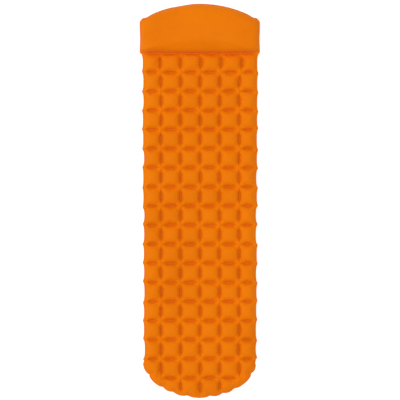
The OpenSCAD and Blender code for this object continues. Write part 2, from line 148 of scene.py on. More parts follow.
@dataclass(frozen=True)
class CoatedPlainWeave:
    """TPU-coated nylon plain weave, dyed in the yarn, calendered and inflated.

    The coating is inside, so the eye meets a dry, close weave: a strong even colour with little
    gloss, a faint thread grid, softly mottled dye, and darker weld lines, partly the welds' own
    pressed tone and partly painted shade of the grooves beside them.
    """

    name: str = "coated_plain_weave_orange"
    light: str = "#F47F03"
    body: str = "#F27D02"
    deep: str = "#ED7901"
    # This colour is partly the welds' own darker pressed tone and partly painted shade of the grooves beside
    # them.
    pressed_and_shade: str = "#C86E18"
    # The real threads lie 0.25 mm apart, too fine to show, so they are drawn 1.1 mm apart.
    thread_mm: float = 1.1
    crease_mm: float = 22.0
    pucker_mm: float = 9.0
    dye_mm: float = 180.0
    thread_deep_mm: float = 0.12
    crease_deep_mm: float = 2.2
    pucker_deep_mm: float = 1.6
    thread_tint: str = "#E9C9A8"
    thread_share: float = 0.16
    # The share of that darker colour, partly painted groove shade, that a fully pressed weld takes.
    weld_and_shade_share: float = 0.7
    weld_smoother: float = 0.12
    roughness: float = 0.62
    # A dry weave with its coating inside mirrors far less than a bare film would.
    specular: float = 0.05
    sheen: float = 0.3
    sheen_roughness: float = 0.36
    sheen_tint: str = "#FFC890"

    def build(self) -> bpy.types.Material:
        """Make the material.

        Returns:
            The fabric, whose weld attribute turns it to the darker weld colour, partly its pressed
            tone and partly painted groove shade.
        """
        material = bpy.data.materials.new(self.name)
        bench = NodeBench.of(material)
        times, fit = {"operation": "MULTIPLY"}, {"operation": "MULTIPLY_ADD"}
        place = bench.add("TexCoord").outputs["Object"]
        weld = bench.add("Attribute", settings={"attribute_name": "weld"}).outputs["Fac"]
        slack = bench.add("Attribute", settings={"attribute_name": "slack"}).outputs["Fac"]
        pull = bench.add("Attribute", settings={"attribute_name": "pull"}).outputs["Vector"]
        dye = bench.add(
            "TexNoise", Vector=place, Scale=1000 / self.dye_mm, Detail=3.0, Roughness=0.55
        ).outputs[0]
        stops = [(0.3, self.deep), (0.5, self.body), (0.7, self.light)]
        colour = bench.add("ValToRGB", dye, settings={"stops": stops}).outputs["Color"]
        turns = 2 * math.pi / (self.thread_mm * MM)
        axes = bench.add("SeparateXYZ", Vector=place).outputs
        waves = []
        for axis in (axes[0], axes[1]):
            phase = bench.add("Math", axis, turns, settings=times).outputs[0]
            waves.append(bench.add("Math", phase, settings={"operation": "SINE"}).outputs[0])
        crossing = bench.add("Math", *waves, settings=times).outputs[0]
        weave = bench.add("Math", crossing, 0.5, 0.5, settings=fit).outputs[0]
        slub = bench.add("TexNoise", Vector=place, Scale=1000 / (self.thread_mm * 2.2), Detail=2.0).outputs[0]
        threads = bench.add("Math", weave, slub, settings=times).outputs[0]
        shaded = bench.add("Math", threads, self.thread_share, settings=times).outputs[0]
        tinted = bench.add(
            "Mix", shaded, settings={"data_type": "RGBA", "blend_type": "MULTIPLY"},
            in_6=colour, in_7=linear(self.thread_tint),
        ).outputs[2]
        # Welds take the darker colour: partly their pressed tone, partly painted shade of their grooves.
        weld_and_shade_mix = bench.add("Math", weld, self.weld_and_shade_share, settings=times).outputs[0]
        dyed_and_shaded = bench.add(
            "Mix", weld_and_shade_mix, settings={"data_type": "RGBA"}, in_6=tinted, in_7=linear(self.pressed_and_shade)
        ).outputs[2]
        crease = bench.add("TexNoise", Vector=place, Scale=1000 / self.crease_mm, Detail=2.5, Distortion=0.6)
        gather = bench.add("TexNoise", Vector=pull, Scale=1000 / self.pucker_mm, Detail=1.5, Roughness=0.4)
        gathered = bench.add("Math", gather.outputs[0], slack, settings=times).outputs[0]
        puckers = bench.add("Bump", Strength=0.8, Distance=self.pucker_deep_mm * MM, Height=gathered)
        soft = bench.add(
            "Bump", Strength=0.16, Distance=self.crease_deep_mm * MM,
            Height=crease.outputs[0], Normal=puckers.outputs[0],
        )
        fine = bench.add(
            "Bump", Strength=bench.add("Math", weld, -0.12, 0.16, settings=fit).outputs[0],
            Distance=self.thread_deep_mm * MM, Height=threads, Normal=soft.outputs[0],
        )
        worn = bench.add("Math", dye, 0.10, self.roughness - 0.05, settings=fit).outputs[0]
        shader = bench.add(
            "BsdfPrincipled", Base_Color=dyed_and_shaded, Normal=fine.outputs[0],
            Roughness=bench.add("Math", weld, -self.weld_smoother, worn, settings=fit).outputs[0],
            Specular_IOR_Level=self.specular, Sheen_Weight=self.sheen,
            Sheen_Roughness=self.sheen_roughness, Sheen_Tint=linear(self.sheen_tint),
        )
        bench.add("OutputMaterial", Surface=shader.outputs[0])
        return material


@dataclass(frozen=True)
class MouldedPlastic:
    """Injection-moulded polymer with a spark-eroded mould's fine grain.

    The grain breaks the gloss into a soft satin, and handling leaves small paler scuffs.
    """

    name: str
    body: str
    scuffed: str
    roughness: float
    ior: float = 1.5
    # The real grain is near 0.05 mm, too fine to show, so it is drawn 0.35 mm wide or more.
    grain_mm: float = 0.35
    grain_deep_mm: float = 0.04
    scuff_mm: float = 6.0
    see_through: float = 0.0
    see_through_mm: tuple[float, float, float] = (1.2, 1.1, 1.0)

    def build(self) -> bpy.types.Material:
        """Make the material.

        Returns:
            The moulded finish.
        """
        material = bpy.data.materials.new(self.name)
        bench = NodeBench.of(material)
        place = bench.add("TexCoord").outputs["Object"]
        grain = bench.add("TexNoise", Vector=place, Scale=1000 / self.grain_mm, Detail=2.0).outputs[0]
        cloud = bench.add("TexNoise", Vector=place, Scale=1000 / self.scuff_mm, Detail=3.0).outputs[0]
        scuffs = bench.add("Math", cloud, grain, settings={"operation": "MULTIPLY"}).outputs[0]
        stops = [(0.18, self.body), (0.62, self.scuffed)]
        colour = bench.add("ValToRGB", scuffs, settings={"stops": stops}).outputs["Color"]
        bump = bench.add("Bump", Strength=0.25, Distance=self.grain_deep_mm * MM, Height=grain)
        worn = bench.add("Math", cloud, 0.16, self.roughness - 0.08, settings={"operation": "MULTIPLY_ADD"})
        shader = bench.add(
            "BsdfPrincipled", Base_Color=colour, Normal=bump.outputs[0], Roughness=worn.outputs[0],
            IOR=self.ior, Subsurface_Weight=self.see_through, Subsurface_Scale=1.0,
            Subsurface_Radius=tuple(r * MM for r in self.see_through_mm),
        )
        bench.add("OutputMaterial", Surface=shader.outputs[0])
        return material


@dataclass
class Wardrobe:
    """Every finish of the pad, made once."""

    fabric: bpy.types.Material = field(default_factory=lambda: CoatedPlainWeave().build())
    # Moulded TPU is a dull dark grey that takes a soft satin and shows pale rubs.
    tpu: bpy.types.Material = field(
        default_factory=lambda: MouldedPlastic("moulded_tpu_anthracite", "#3A3B3E", "#4B4C50", 0.46).build()
    )
    # Platinum-cured silicone is milky, slightly see-through and takes a soft gloss.
    silicone: bpy.types.Material = field(
        default_factory=lambda: MouldedPlastic(
            "moulded_silicone_milky", "#D3D7D0", "#E2E4DE", 0.4, ior=1.41, grain_mm=0.5, see_through=0.35
        ).build()
    )


# ------------------------------------------------------------------ mesh helpers


def smooth(t: Array) -> Array:
    """Ease a value from 0 to 1 with flat ends."""
    t = np.clip(t, 0.0, 1.0)
    return t * t * (3 - 2 * t)


def cusps(place: Array, points: Array, width: float) -> Array:
    """How near a place is to the nearest of some points: 1 on one of them, falling off sharply."""
    gap = np.min(np.abs(place[..., None] - np.asarray(points, float)), axis=-1)
    return np.exp(-gap / width)


def outer_ring(shape: tuple[int, int]) -> Array:
    """Mark the outermost ring of a grid, where a chamber's two sheets meet.

    Args:
        shape: the grid's rows and columns.

    Returns:
        True on the ring.
    """
    ring = np.ones(shape, bool)
    ring[1:-1, 1:-1] = False
    return ring


def on_ground(z: Array, soft: float = 3.0) -> Array:
    """Round heights off, in mm, so that what would sink below the ground lies flat on it."""
    return np.where(z < soft, soft * np.exp(np.minimum(z - soft, 0) / soft), z)


def nearest_seam(spots: Array, seams: list[tuple[Array, Array]]) -> tuple[Array, Array]:
    """Find the nearest weld of each spot.

    Args:
        spots: places in plan, rows x columns x 2.
        seams: the ends of each straight stretch of weld.

    Returns:
        The nearest point on a weld, and how far it is.
    """
    far = np.full(spots.shape[:2], np.inf)
    foot = np.zeros_like(spots)
    for start, end in seams:
        run = end - start
        share = np.clip((spots - start) @ run / max(run @ run, 1e-9), 0, 1)
        near = start + share[..., None] * run
        gap = np.linalg.norm(spots - near, axis=-1)
        closer = gap < far
        far[closer], foot[closer] = gap[closer], near[closer]
    return foot, far


@dataclass
class Sheet:
    """One sheet of a chamber, laid out as a grid of rows x columns."""

    grid: Array
    held: Array
    weld: Array
    foot: Array
    far: Array
    slack_mm: float = 13.0

    def piece(self, name: str, facing: Side) -> bpy.types.Object:
        """Make the sheet a mesh object of quads.

        Args:
            name: the piece's name.
            facing: the sheet, which decides the way the faces look.

        Returns:
            The object, linked to the scene and smooth shaded. Its attributes are weld, how hard each
            point is pressed, which also sets how much painted groove shade its colour takes; pull, the
            nearest point of a weld; and slack, how much cloth puckers there.
        """
        rows, cols = self.grid.shape[:2]
        at = np.arange(rows * cols).reshape(rows, cols)
        quads = np.stack([at[:-1, :-1], at[1:, :-1], at[1:, 1:], at[:-1, 1:]], -1).reshape(-1, 4)
        middle = self.grid[rows // 2 : rows // 2 + 2, cols // 2 : cols // 2 + 2]
        looks_up = np.cross(middle[1, 0] - middle[0, 0], middle[0, 1] - middle[0, 0])[2] > 0
        if looks_up != (facing is Side.UPPER):
            quads = quads[:, ::-1]
        mesh = bpy.data.meshes.new(name)
        mesh.from_pydata(self.grid.reshape(-1, 3).tolist(), [], quads.tolist())
        slack = np.exp(-self.far / self.slack_mm) * ~self.held
        pull = np.concatenate([self.foot.reshape(-1, 2), np.zeros((rows * cols, 1))], 1)
        for label, kind, key, values in (
            ("weld", "FLOAT", "value", self.weld),
            ("slack", "FLOAT", "value", slack),
            ("pull", "FLOAT_VECTOR", "vector", pull),
        ):
            layer = mesh.attributes.new(label, kind, "POINT")
            layer.data.foreach_set(key, values.ravel().astype(np.float32))
        mesh.shade_smooth()
        piece = bpy.data.objects.new(name, mesh)
        bpy.context.scene.collection.objects.link(piece)
        return piece


def points_of(mesh: bpy.types.Mesh) -> Array:
    """Read a mesh's vertices.

    Args:
        mesh: the mesh to read.

    Returns:
        Their places, n x 3.
    """
    flat = np.zeros(len(mesh.vertices) * 3)
    mesh.vertices.foreach_get("co", flat)
    return flat.reshape(-1, 3)


def set_points(mesh: bpy.types.Mesh, points: Array) -> None:
    """Move the mesh's vertices to these points."""
    mesh.vertices.foreach_set("co", points.ravel())
    mesh.update()


@dataclass(frozen=True)
class AirPressure:
    """How a sheet is blown up: cloth under pressure, pinned at its welds."""

    pressure: float
    growth: float
    tension: float = 40.0
    bending: float = 0.4
    frames: int = 20
    quality: int = 6
    reach_mm: float = 40.0

    def inflate(self, piece: bpy.types.Object, pinned: Array) -> None:
        """Blow the sheet up and keep the result as its mesh.

        Args:
            piece: the sheet, whose faces look out of the chamber.
            pinned: True for each vertex that a weld holds.
        """
        scene = bpy.context.scene
        group = piece.vertex_groups.new(name="welded")
        group.add([int(i) for i in np.flatnonzero(pinned)], 1.0, "REPLACE")
        cloth = piece.modifiers.new("air", "CLOTH")
        rules = cloth.settings
        rules.quality = self.quality
        rules.mass = 0.2
        rules.air_damping = 2.0
        rules.tension_stiffness = rules.compression_stiffness = self.tension
        rules.shear_stiffness = self.tension * 0.6
        rules.bending_stiffness = self.bending
        rules.vertex_group_mass = group.name
        rules.pin_stiffness = 1.0
        rules.shrink_min = -self.growth
        rules.use_pressure = True
        rules.uniform_pressure_force = self.pressure
        rules.effector_weights.gravity = 0.0
        cloth.collision_settings.use_collision = False
        cloth.collision_settings.use_self_collision = False
        cloth.point_cache.frame_start = 1
        cloth.point_cache.frame_end = self.frames
        for number in range(1, self.frames + 1):
            scene.frame_set(number)
        graph = bpy.context.evaluated_depsgraph_get()
        blown = points_of(piece.evaluated_get(graph).data)
        piece.modifiers.remove(cloth)
        piece.vertex_groups.remove(group)
        scene.frame_set(1)
        if not np.isfinite(blown).all():
            raise RuntimeError(f"{piece.name}: the simulation ran away")
        flat = points_of(piece.data)
        moved = blown - flat
        far = np.maximum(np.linalg.norm(moved, axis=1, keepdims=True), 1e-9)
        reach = self.reach_mm * MM
        log.info("%s moved %.1f mm at most", piece.name, far.max() / MM)
        set_points(piece.data, flat + moved * (reach * np.tanh(far / reach) / far))


def subdivide(piece: bpy.types.Object) -> None:
    """Add one applied level of subdivision surface.

    Args:
        piece: the object whose mesh is replaced by the rounded one.
    """
    bpy.context.view_layer.objects.active = piece
    crisp = piece.modifiers.new("round", "SUBSURF")
    crisp.levels = crisp.render_levels = 1
    crisp.boundary_smooth = "ALL"
    graph = bpy.context.evaluated_depsgraph_get()
    rounded = bpy.data.meshes.new_from_object(piece.evaluated_get(graph))
    piece.modifiers.clear()
    old, piece.data = piece.data, rounded
    rounded.name = piece.name
    bpy.data.meshes.remove(old)
    piece.data.shade_smooth()


# ------------------------------------------------------------------ valve seats


@dataclass(frozen=True)
class Seat:
    """A valve's place on a lower sheet. Its X runs up the wall and its Z out of the pad.

    Heights of the rim are in mm and the other sizes in metres.
    """

    centre: Vector
    out: Vector
    rim_z: float
    rim_guard: float = 0.7
    rim_fade: float = 2.0
    port_top: float = 7.4 * MM
    flange_r: float = 16.5 * MM
    hole_r: float = 12.56 * MM
    hole_bite: float = 0.8 * MM
    skin: float = 0.6 * MM
    margin: float = 1.0 * MM
    fade: float = 12 * MM
    search_r: float = 14 * MM
    search_z: float = 30 * MM

    @classmethod
    def of(cls, name: str, rim_z: float = 0.0) -> "Seat":
        """Find the seat of a chamber's valve from the record's inflation port.

        Args:
            name: the chamber.
            rim_z: the height of the chamber's rim, in mm.

        Returns:
            The seat.
        """
        mount = next(m for m in frame["record"]["mounts"] if m["name"] == f"{name}_inflation_port")
        out = Vector(mount["axis"]).normalized()
        return cls(Vector(mount["pos_m"]) - out * cls.port_top, out, rim_z)

    @property
    def up(self) -> Vector:
        """The way up the wall."""
        return Vector((-self.out.z, 0, self.out.x))

    def point(self, x: float, y: float, z: float) -> Vector:
        """A point given in the seat's own millimetres, in the part's frame."""
        return self.centre + (self.up * x + Vector((0, -1, 0)) * y + self.out * z) * MM

    def cut(self, piece: bpy.types.Object) -> None:
        """Flatten the sheet round the valve's flange and cut the collar's hole in it.

        Args:
            piece: the lower sheet, after its last subdivision.
        """
        mesh = piece.data
        points = points_of(mesh)
        centre, out = np.array(self.centre), np.array(self.out)
        rel = points - centre
        height = rel @ out
        flat = rel - height[:, None] * out
        reach = np.linalg.norm(flat, axis=1)
        near = (reach < self.flange_r + self.search_r) & (np.abs(height) < self.search_z) & (points[:, 0] > 0)
        hold = 1 - smooth((reach - self.flange_r - self.margin) / self.fade)
        # Beyond the flange the sheet gives way to the rim, which keeps its line.
        below_rim = smooth((self.rim_z - self.rim_guard - points[:, 2] / MM) / self.rim_fade)
        hold *= np.where(reach < self.flange_r + self.margin, 1.0, below_rim)
        moved = height + hold * (self.skin - height)
        points[near] += ((moved - height)[:, None] * out)[near]
        set_points(mesh, points)
        work = bmesh.new()
        work.from_mesh(mesh)
        radius = {v: float(reach[v.index]) for v in work.verts if near[v.index]}
        gone = [
            f for f in work.faces
            if all(v in radius for v in f.verts)
            and np.mean([radius[v] for v in f.verts]) < self.hole_r - self.hole_bite
        ]
        bmesh.ops.delete(work, geom=gone, context="FACES")
        for vert in [v for v, r in radius.items() if v.is_valid and v.is_boundary and r < self.flange_r]:
            rel_v = vert.co - self.centre
            lift = rel_v.dot(self.out)
            side = rel_v - self.out * lift
            vert.co = self.centre + self.out * lift + side.normalized() * self.hole_r
        work.to_mesh(mesh)
        work.free()
        mesh.update()


# ------------------------------------------------------------------ the mattress


@dataclass
class Mattress:
    """The mattress chamber: two sheets welded round the rim and along the cell walls. Sizes in mm."""

    seam_y: float = 712.0
    row_pitch: float = 92.06
    column_pitch: float = 94.1
    columns: int = 6
    rows: int = 18
    foot_rows: int = 2
    off_centre: float = 1.6
    head_half_w: float = 282.5
    foot_half_w: float = 276.0
    foot_end_y: float = -949.0
    rim_w: float = 5.0
    mid_z: float = 30.0
    skin: float = 0.6
    dome: float = 22.5
    under_dome: float = 29.4
    cell_reach: float = 44.0
    soft_rise: float = 3.8
    relax: int = 4
    weld_tip: float = 0.235
    foot_corner: float = 28.0
    # The cross welds take less of the darker weld colour than the long ones; the difference is painted shade,
    # as if light from the side darkened the long grooves more.
    cross_press_and_shade: float = 0.6
    valve_row: int = 1
    valve_side: int = 1
    # The rim takes a small share of the darker weld colour, partly its pressed tone and partly painted shade
    # along the edge and the seam.
    rim_press_and_shade: float = 0.15
    drift: float = 1.5
    seed: int = 11
    # Depth of the side's scallops; the valve's stiff base holds its own cell's edge out.
    scallop: tuple[float, float] = (5.5, 11.0)
    valve_scallop: float = 6.5
    # In rows: how far an ear may lie from its cross weld, and how wide it is.
    ear_shift: float = 0.08
    ear_width: float = 0.11
    notch_deep: float = 10.0
    notch_degrees: float = 2.8
    notch_out: float = 1.0
    # The pillow spreads the first rows: by how much, and over which rows.
    spread: float = 3.5
    spread_share: float = 0.045
    spread_from: float = 0.4
    spread_rows: float = 0.8
    seam_hem: float = 8.0
    seam_step: float = 4.0
    corner_fan: float = 2.0
    corner_way: tuple[float, float] = (0.62, 0.78)
    # Shares of a cell at which the sheet has a line; the first and last bound a weld's pressed width.
    cuts: tuple[float, ...] = (
        0, 0.026, 0.085, 0.16, 0.235, 0.32, 0.41, 0.5, 0.59, 0.68, 0.765, 0.84, 0.915, 0.974,
    )
    notches: tuple[tuple[float, float], ...] = (
        (-274, -764), (-240, -836), (-180, -901), (-132, -926), (-59, -938),
        (49, -937), (110, -928), (170, -909), (238, -829), (269, -781),
    )
    air: AirPressure = AirPressure(pressure=14.0, growth=0.06)

    @property
    def straight_rows(self) -> int:
        """Rows before the rounded foot."""
        return self.rows - self.foot_rows

    @property
    def foot_y(self) -> float:
        """Where the rounded foot starts."""
        return self.seam_y - self.straight_rows * self.row_pitch

    def half_w(self, v: Array) -> Array:
        """Half width over the rim at a row."""
        share = np.clip(v / self.straight_rows, 0, 1)
        return self.head_half_w + (self.foot_half_w - self.head_half_w) * share

    def line_x(self, u: Array) -> Array:
        """Where a weld line between two columns runs."""
        return (u - self.columns / 2) * self.column_pitch + self.off_centre

    def drawn_in(self, v: Array, side: int) -> Array:
        """How far the side is drawn in beside the cells, with pointed ears at the cross welds.

        Args:
            v: place along, in rows.
            side: 0 for the left and 1 for the right.

        Returns:
            The depth of the side's scallops, in mm.
        """
        rng = np.random.default_rng(self.seed + side)
        depth = rng.uniform(*self.scallop, self.rows + 2)
        if side == self.valve_side:
            depth[self.valve_row] = self.valve_scallop
        shift = rng.uniform(-self.ear_shift, self.ear_shift, self.rows + 2)
        at = np.clip(np.round(v).astype(int), 0, self.rows)
        ear = np.exp(-np.abs(v - np.arange(self.rows + 2)[at] - shift[at]) / self.ear_width)
        cell = np.clip(np.floor(v).astype(int), 0, self.rows)
        return depth[cell] * (1 - ear)

    def foot_notch(self, x: Array, y: Array) -> Array:
        """How far the rounded end is drawn in at its notches.

        Args:
            x: place across, in mm.
            y: place along, in mm.

        Returns:
            The depth of the notches, in mm, below 0 where the edge swells between two of them.
        """
        b = self.foot_y - self.foot_end_y
        angle = np.degrees(np.arctan2((self.foot_y - y) / b, x / self.foot_half_w))
        notch_x, notch_y = np.array(self.notches, float).T
        marks = np.degrees(np.arctan2((self.foot_y - notch_y) / b, notch_x / self.foot_half_w))
        return self.notch_deep * cusps(angle, marks, self.notch_degrees) - self.notch_out

    def plan(self, u: Array, v: Array, grow: Array) -> tuple[Array, Array]:
        """Plan of the chamber.

        Args:
            u: place across, in columns.
            v: place along, in rows from the seam.
            grow: how far beyond the chamber's edge, in mm, on the rim.

        Returns:
            The x and y of each point, in mm.
        """
        side = np.where(u < 1, -1, np.where(u > self.columns - 1, 1, 0))
        q = np.where(side < 0, u, np.where(side > 0, self.columns - u, 1.0))
        half = self.half_w(v) - self.rim_w
        pull = np.where(side < 0, self.drawn_in(v, 0), self.drawn_in(v, 1))
        edge = half + grow + side * self.off_centre - pull * np.clip(1 - q, 0, 1) ** 2
        line = np.where(u < 1, -self.line_x(np.array(1.0)), self.line_x(np.array(self.columns - 1.0)))
        x = np.where(side == 0, self.line_x(u), side * (edge + q * (line - edge)))
        y = self.seam_y - np.minimum(v, self.straight_rows) * self.row_pitch
        fading = np.exp(-((np.maximum(v - self.spread_from, 0) / self.spread_rows) ** 2)) * smooth(v / 0.3)
        x = x + (self.spread + self.spread_share * x) * fading * np.clip(q, 0, 1)
        t = np.clip((v - self.straight_rows) / self.foot_rows, 0, 1)
        a = self.foot_half_w - self.rim_w
        b = self.foot_y - self.foot_end_y - self.rim_w
        s = np.clip(x / a, -1, 1)
        cross = self.row_pitch / b
        late = np.clip(2 * t - 1, 0, 1)
        early = np.minimum(2 * t, 1)
        arch = np.sqrt(np.maximum(1 - s * s, 0))
        y_in = self.foot_y - b * (early * cross + late * (arch - cross))
        weld_x = line / a
        weld_angle = np.arccos(weld_x)
        down = early * cross + late * (np.sin(weld_angle) - cross)
        corner = math.radians(self.foot_corner)
        end = corner + q * (weld_angle - corner)
        px = (1 - q) * np.cos(t * corner) + q * weld_x + t * (
            np.cos(end) - (1 - q) * math.cos(corner) - q * weld_x
        )
        py = (1 - q) * np.sin(t * corner) + q * down + t * (
            np.sin(end) - (1 - q) * math.sin(corner) - q * np.sin(weld_angle)
        )
        x_foot = np.where(side == 0, x, side * px * a)
        y_foot = np.where(side == 0, y_in, self.foot_y - py * b)
        into = smooth(t / 0.3)
        pull_foot = self.foot_notch(x_foot, y_foot) * into + pull * (1 - into)
        rimward = np.maximum(np.clip(1 - q, 0, 1) ** 2 * (side != 0), t**5)
        normal_x, normal_y = x_foot / a**2, (y_foot - self.foot_y) / b**2
        length = np.maximum(np.hypot(normal_x, normal_y), 1e-9)
        out = grow - pull_foot * rimward
        x_foot = x_foot + out * normal_x / length
        y_foot = y_foot + out * normal_y / length
        x, y = np.where(t > 0, x_foot, x), np.where(t > 0, y_foot, y)
        # No two cells are welded quite alike.
        inside = np.clip(q, 0, 1) * np.clip(np.minimum(v, self.rows - v), 0, 1)
        x = x + inside * self.drift * np.sin(2.3 * v + 0.7 * u) * np.cos(1.9 * u - 0.4 * v)
        y = y + inside * self.drift * np.sin(2.1 * u + 0.8) * np.cos(1.1 * v)
        return x, y

    def column_weld(self, column: int, row: int) -> bool:
        """True where the wall between two columns is welded."""
        return 0 < column < self.columns and (
            row < self.rows - 1 or abs(column - self.columns / 2) < self.columns / 2 - 1
        )

    def row_weld(self, column: int, row: int) -> bool:
        """True where the wall before a row is welded."""
        return 0 < row < self.rows and (row < self.rows - 1 or 0 < column < self.columns - 1)

    def welds(self, u: Array, v: Array) -> Array:
        """How far each grid point belongs to a line weld: a lens, three lines wide but for its two ends.

        Args:
            u: place across, in columns.
            v: place along, in rows.

        Returns:
            0 for a free point, and otherwise how hard the weld is pressed, up to 1, which also sets
            how much painted groove shade its colour takes.
        """
        pressed_and_shade = np.zeros(np.broadcast(u, v).shape)
        wide, tip, body = self.cuts[1] + 1e-6, self.weld_tip - 1e-6, self.cuts[5] - 1e-6

        def press(across: Array, along: Array, depth: float) -> None:
            """Press one lens into the sheet.

            Args:
                across: distance from the weld's middle line, in cells.
                along: distance from its middle, in cells.
                depth: how hard it is pressed, which also sets how much painted groove shade it takes.
            """
            core = (across < 1e-6) & (along <= 0.5 - tip)
            flank = (across <= wide) & (along <= 0.5 - body)
            pressed_and_shade[core | flank] = depth

        for column in range(self.columns + 1):
            for row in range(self.rows + 1):
                if row < self.rows and self.column_weld(column, row):
                    press(np.abs(u - column), np.abs(v - row - 0.5), 1.0)
                if column < self.columns and self.row_weld(column, row):
                    press(np.abs(v - row), np.abs(u - column - 0.5), self.cross_press_and_shade)
        return pressed_and_shade

    def lines(self, cells: int) -> Array:
        """Every grid line across some cells, in cells."""
        return np.array([c + share for c in range(cells) for share in self.cuts] + [float(cells)])

    def seams(self, inner: Array) -> list[tuple[Array, Array]]:
        """Every straight stretch of weld, as its two ends in plan.

        Args:
            inner: the plan of the grid inside the rim, rows x columns x 2, in mm.

        Returns:
            The line welds' middle lines, then the rim's inner edge piece by piece.
        """
        per, tip = len(self.cuts), self.cuts.index(self.weld_tip)
        found = []
        for column in range(self.columns):
            for row in range(self.rows):
                i, j = row * per, column * per
                if self.column_weld(column, row):
                    found.append((inner[i + tip, j], inner[i + per - tip, j]))
                if self.row_weld(column, row):
                    found.append((inner[i, j + tip], inner[i, j + per - tip]))
        for edge in (inner[0], inner[-1], inner[:, 0], inner[:, -1]):
            found += list(zip(edge[:-1:2], edge[2::2]))
        return found

    def start_height(self, far: Array, held: Array) -> Array:
        """Height above the weld plane before the air goes in, a soft dome from the nearest weld.

        Args:
            far: each point's distance from the nearest weld, in mm.
            held: which points a weld holds.

        Returns:
            The height of each point, in mm.
        """
        z = self.dome * (1 - np.clip(1 - far / self.cell_reach, 0, 1) ** self.soft_rise)
        for _ in range(self.relax):
            z[1:-1, 1:-1] = (z[2:, 1:-1] + z[:-2, 1:-1] + z[1:-1, 2:] + z[1:-1, :-2]) / 4
            z[held] = 0.0
        return z

    def sheet(self, facing: Side) -> Sheet:
        """Lay out one sheet.

        Args:
            facing: which of the two.

        Returns:
            The sheet, already domed between its welds.
        """
        us, vs = self.lines(self.columns), self.lines(self.rows)
        grow = [1.0, 0.5]
        u_all = np.concatenate([[0, 0], us, [self.columns] * 2])
        v_all = np.concatenate([[0, 0], vs, [self.rows] * 2])
        gu = np.array(grow + [0] * len(us) + grow[::-1]) * self.rim_w
        gv = np.array([0, 0] + [0] * len(vs) + grow[::-1]) * self.rim_w
        hem = np.array(grow + [0] * (len(vs) + 2))[:, None] * self.seam_hem
        u, v = np.meshgrid(u_all, v_all)
        depth_u, depth_v = np.meshgrid(gu, gv)
        x, y = self.plan(u, v, np.maximum(depth_u, depth_v))
        y = y + hem - self.seam_step * (hem == 0) * (v == 0)
        # Where the side's rim meets the end's, its points fan out along the edge.
        at_corner = (v == self.rows) * ((u == 0) | (u == self.columns))
        fan = (depth_v - depth_u) / self.rim_w * self.corner_fan * at_corner
        x, y = x - np.sign(x) * fan * self.corner_way[0], y - fan * self.corner_way[1]
        row, col = np.arange(u.shape[0])[:, None], np.arange(u.shape[1])[None, :]
        on_rim = (row <= 2) | (row >= u.shape[0] - 3) | (col <= 2) | (col >= u.shape[1] - 3)
        weld = np.maximum(self.welds(u, v), on_rim * self.rim_press_and_shade)
        held = weld > 0
        spots = np.stack([x, y], -1)
        foot, far = nearest_seam(spots, self.seams(spots[2:-2, 2:-2]))
        z = self.start_height(far, held)
        grid = np.stack([x, y, self.mid_z + facing.value * (self.skin * ~outer_ring(x.shape) + z)], -1) * MM
        return Sheet(grid, held, weld, foot * MM, far)

    def build(self, fabric: bpy.types.Material) -> list[bpy.types.Object]:
        """Make and dress both sheets: the upper one is blown up and turned over for the lower.

        Args:
            fabric: the material of the sheets.

        Returns:
            The upper and the lower sheet.
        """
        laid = self.sheet(Side.UPPER)
        top = laid.piece("mattress_top_fabric", Side.UPPER)
        self.air.inflate(top, laid.held.ravel())
        blown = points_of(top.data)
        log.info("mattress top rises to %.1f mm", blown[:, 2].max() / MM)
        # The lower sheet carries the pad, so its cells stand further out, down to the ground.
        under = blown.copy()
        rise = blown[:, 2] / MM - self.mid_z
        under[:, 2] = on_ground(self.mid_z - rise * self.under_dome / rise.max()) * MM
        laid.grid = under.reshape(laid.grid.shape)
        bottom = laid.piece("mattress_bottom_fabric", Side.LOWER)
        for piece in (top, bottom):
            subdivide(piece)
            piece.data.materials.append(fabric)
        Seat.of("mattress", self.mid_z).cut(bottom)
        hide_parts("mattress_top_sheet")
        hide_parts("mattress_bottom_sheet")
        return [top, bottom]


# ------------------------------------------------------------------ the pillow


